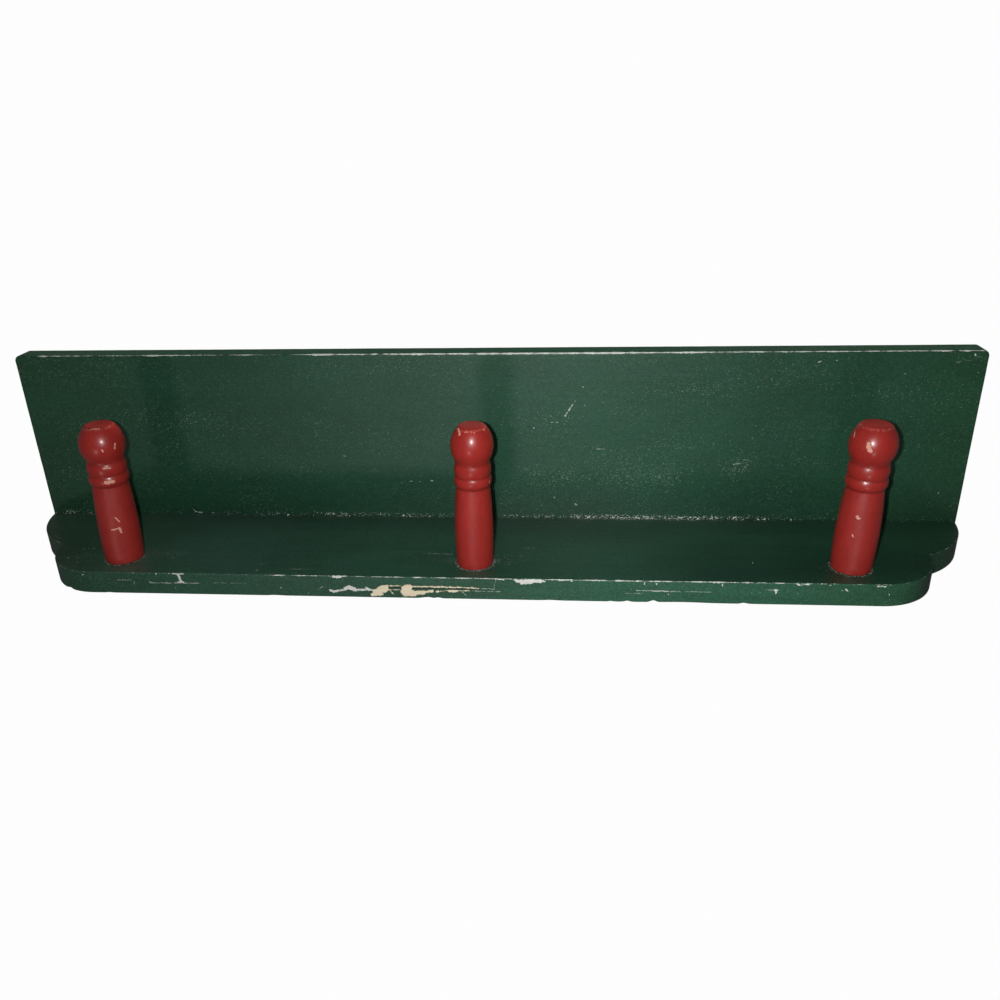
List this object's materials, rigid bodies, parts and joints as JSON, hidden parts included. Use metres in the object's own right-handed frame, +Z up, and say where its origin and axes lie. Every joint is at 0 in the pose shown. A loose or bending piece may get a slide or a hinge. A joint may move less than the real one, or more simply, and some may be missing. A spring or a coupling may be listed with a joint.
{
  "type": "shaker peg rail with shelf",
  "caption": "Painted wood wall shelf on a peg rail: a plain board with rounded front corners over a rail with double-lobed ends and turned, knobbed coat pegs.",
  "frame": {"origin": "on the wall plane, midway between the two hanging points (the upper ends of the keyholes' slots)", "axes": "+X along the rail to the viewer's right, +Y into the wall, +Z up; the shelf and the pegs reach towards -Y"},
  "size_m": [0.6096, 0.127, 0.0979],
  "materials": {
    "shelf_paint": "satin dark green oil paint, brushed on along the grain, worn to a pale undercoat on its arrises",
    "rail_paint": "the same dark green paint; its lower edge is chipped to a cream undercoat and bare wood",
    "peg_enamel": "glossy barn red enamel on turned hardwood, with small pale chips",
    "plug_paint": "wood plugs, sanded flush and painted over in the same dark green",
    "plate_steel": "stamped steel, zinc plated, slightly dulled",
    "screw_steel": "zinc plated steel wood screws"
  },
  "bodies": {
    "root": {"shelf_board": "shelf_paint", "peg_rail": "rail_paint", "peg_left": "peg_enamel", "peg_centre": "peg_enamel", "peg_right": "peg_enamel", "shelf_screw_1": "screw_steel", "screw_plug_1": "plug_paint", "shelf_screw_2": "screw_steel", "screw_plug_2": "plug_paint", "shelf_screw_3": "screw_steel", "screw_plug_3": "plug_paint", "shelf_screw_4": "screw_steel", "screw_plug_4": "plug_paint", "hanger_left": "plate_steel", "hanger_screw_left_upper": "screw_steel", "hanger_screw_left_lower": "screw_steel", "hanger_right": "plate_steel", "hanger_screw_right_upper": "screw_steel", "hanger_screw_right_lower": "screw_steel"}
  },
  "joints": []
}
